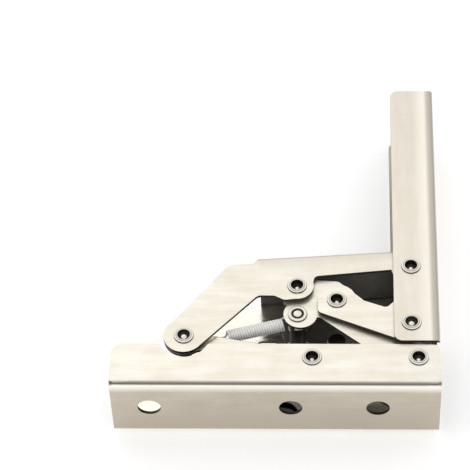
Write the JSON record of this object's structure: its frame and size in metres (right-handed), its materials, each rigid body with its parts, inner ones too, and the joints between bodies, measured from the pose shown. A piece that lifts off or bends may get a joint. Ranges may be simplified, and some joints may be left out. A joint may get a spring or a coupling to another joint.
{
  "type": "folding support bracket",
  "caption": "Folding support bracket: two steel channels at a right angle joined by sprung links, so one folds out in line with the other.",
  "frame": {"origin": "centre of the mounting hole nearest the corner, at the outer face of the base channel's web", "axes": "+X along the base channel towards the corner, +Y along the leg channel away from the base, +Z along the hinge pivots, so the bracket lies on its side"},
  "size_m": [0.1208, 0.1423, 0.0342],
  "materials": {
    "channels": "nickel plated pressed steel, satin",
    "links": "nickel plated pressed steel, satin",
    "rivets": "plated steel, smooth",
    "washers": "plated steel, smooth",
    "spring_wire": "drawn spring wire, plated"
  },
  "bodies": {
    "base": {"base_channel": "channels", "rivet_base_lever_upper": "rivets", "rivet_base_lever_lower": "rivets", "rivet_base_swing_upper": "rivets", "rivet_base_swing_lower": "rivets"},
    "lever": {"lever_upper": "links", "lever_lower": "links", "rivet_lever_short_upper": "rivets", "rivet_lever_short_lower": "rivets", "rivet_lever_brace_upper": "rivets", "rivet_lever_brace_lower": "rivets", "washer_base_lever_upper": "washers", "washer_base_lever_lower": "washers", "washer_lever_short_upper": "washers", "washer_lever_short_lower": "washers", "washer_lever_brace_upper": "washers", "washer_lever_brace_lower": "washers", "spring_post": "rivets"},
    "brace": {"brace": "links", "rivet_brace_leg_upper": "rivets", "rivet_brace_leg_lower": "rivets", "rivet_brace_swing_upper": "rivets", "rivet_brace_swing_lower": "rivets"},
    "leg": {"leg_channel": "channels", "rivet_leg_short_upper": "rivets", "rivet_leg_short_lower": "rivets"},
    "short_links": {"short_link_upper": "links", "short_link_lower": "links"},
    "swing_links": {"swing_link_upper": "links", "swing_link_lower": "links", "washer_base_swing_upper": "washers", "washer_base_swing_lower": "washers", "washer_brace_swing_upper": "washers", "washer_brace_swing_lower": "washers", "sleeve_ring_upper": "washers", "sleeve_ring_lower": "washers", "sleeve": "washers"},
    "springs": {"spring_upper": "spring_wire", "spring_lower": "spring_wire"}
  },
  "joints": [
    {"name": "fold", "type": "hinge", "parent": "base", "child": "lever", "pos_m": [0.01475, 0.0122, 0], "axis": [0, 0, -1], "range_deg": [0, 129.04]},
    {"name": "brace_turn", "type": "hinge", "parent": "lever", "child": "brace", "pos_m": [-0.02995, 0.0451, 0], "axis": [0, 0, -1], "range_deg": [-96.5, 0]},
    {"name": "leg_turn", "type": "hinge", "parent": "brace", "child": "leg", "pos_m": [0.01265, 0.0535, 0], "axis": [0, 0, -1], "range_deg": [0, 57.5]},
    {"name": "short_link_turn", "type": "hinge", "parent": "lever", "child": "short_links", "pos_m": [-0.0151, 0.03845, 0], "axis": [0, 0, -1], "range_deg": [-135.2, 0]},
    {"name": "swing_turn", "type": "hinge", "parent": "base", "child": "swing_links", "pos_m": [-0.02415, 0.01215, 0], "axis": [0, 0, -1], "range_deg": [0, 148.1]},
    {"name": "spring_turn", "type": "hinge", "parent": "lever", "child": "springs", "pos_m": [-0.02965, 0.0333, 0], "axis": [0, 0, -1], "range_deg": [-120.4, 0], "deforming": ["spring_upper", "spring_lower"]}
  ],
  "couplings": [
    {"joint": "brace_turn", "follows": "fold", "ratio": -0.74434},
    {"joint": "leg_turn", "follows": "fold", "ratio": 0.4418},
    {"joint": "short_link_turn", "follows": "fold", "ratio": -1.0436},
    {"joint": "swing_turn", "follows": "fold", "ratio": 1.144},
    {"joint": "spring_turn", "follows": "fold", "ratio": -0.92894}
  ]
}
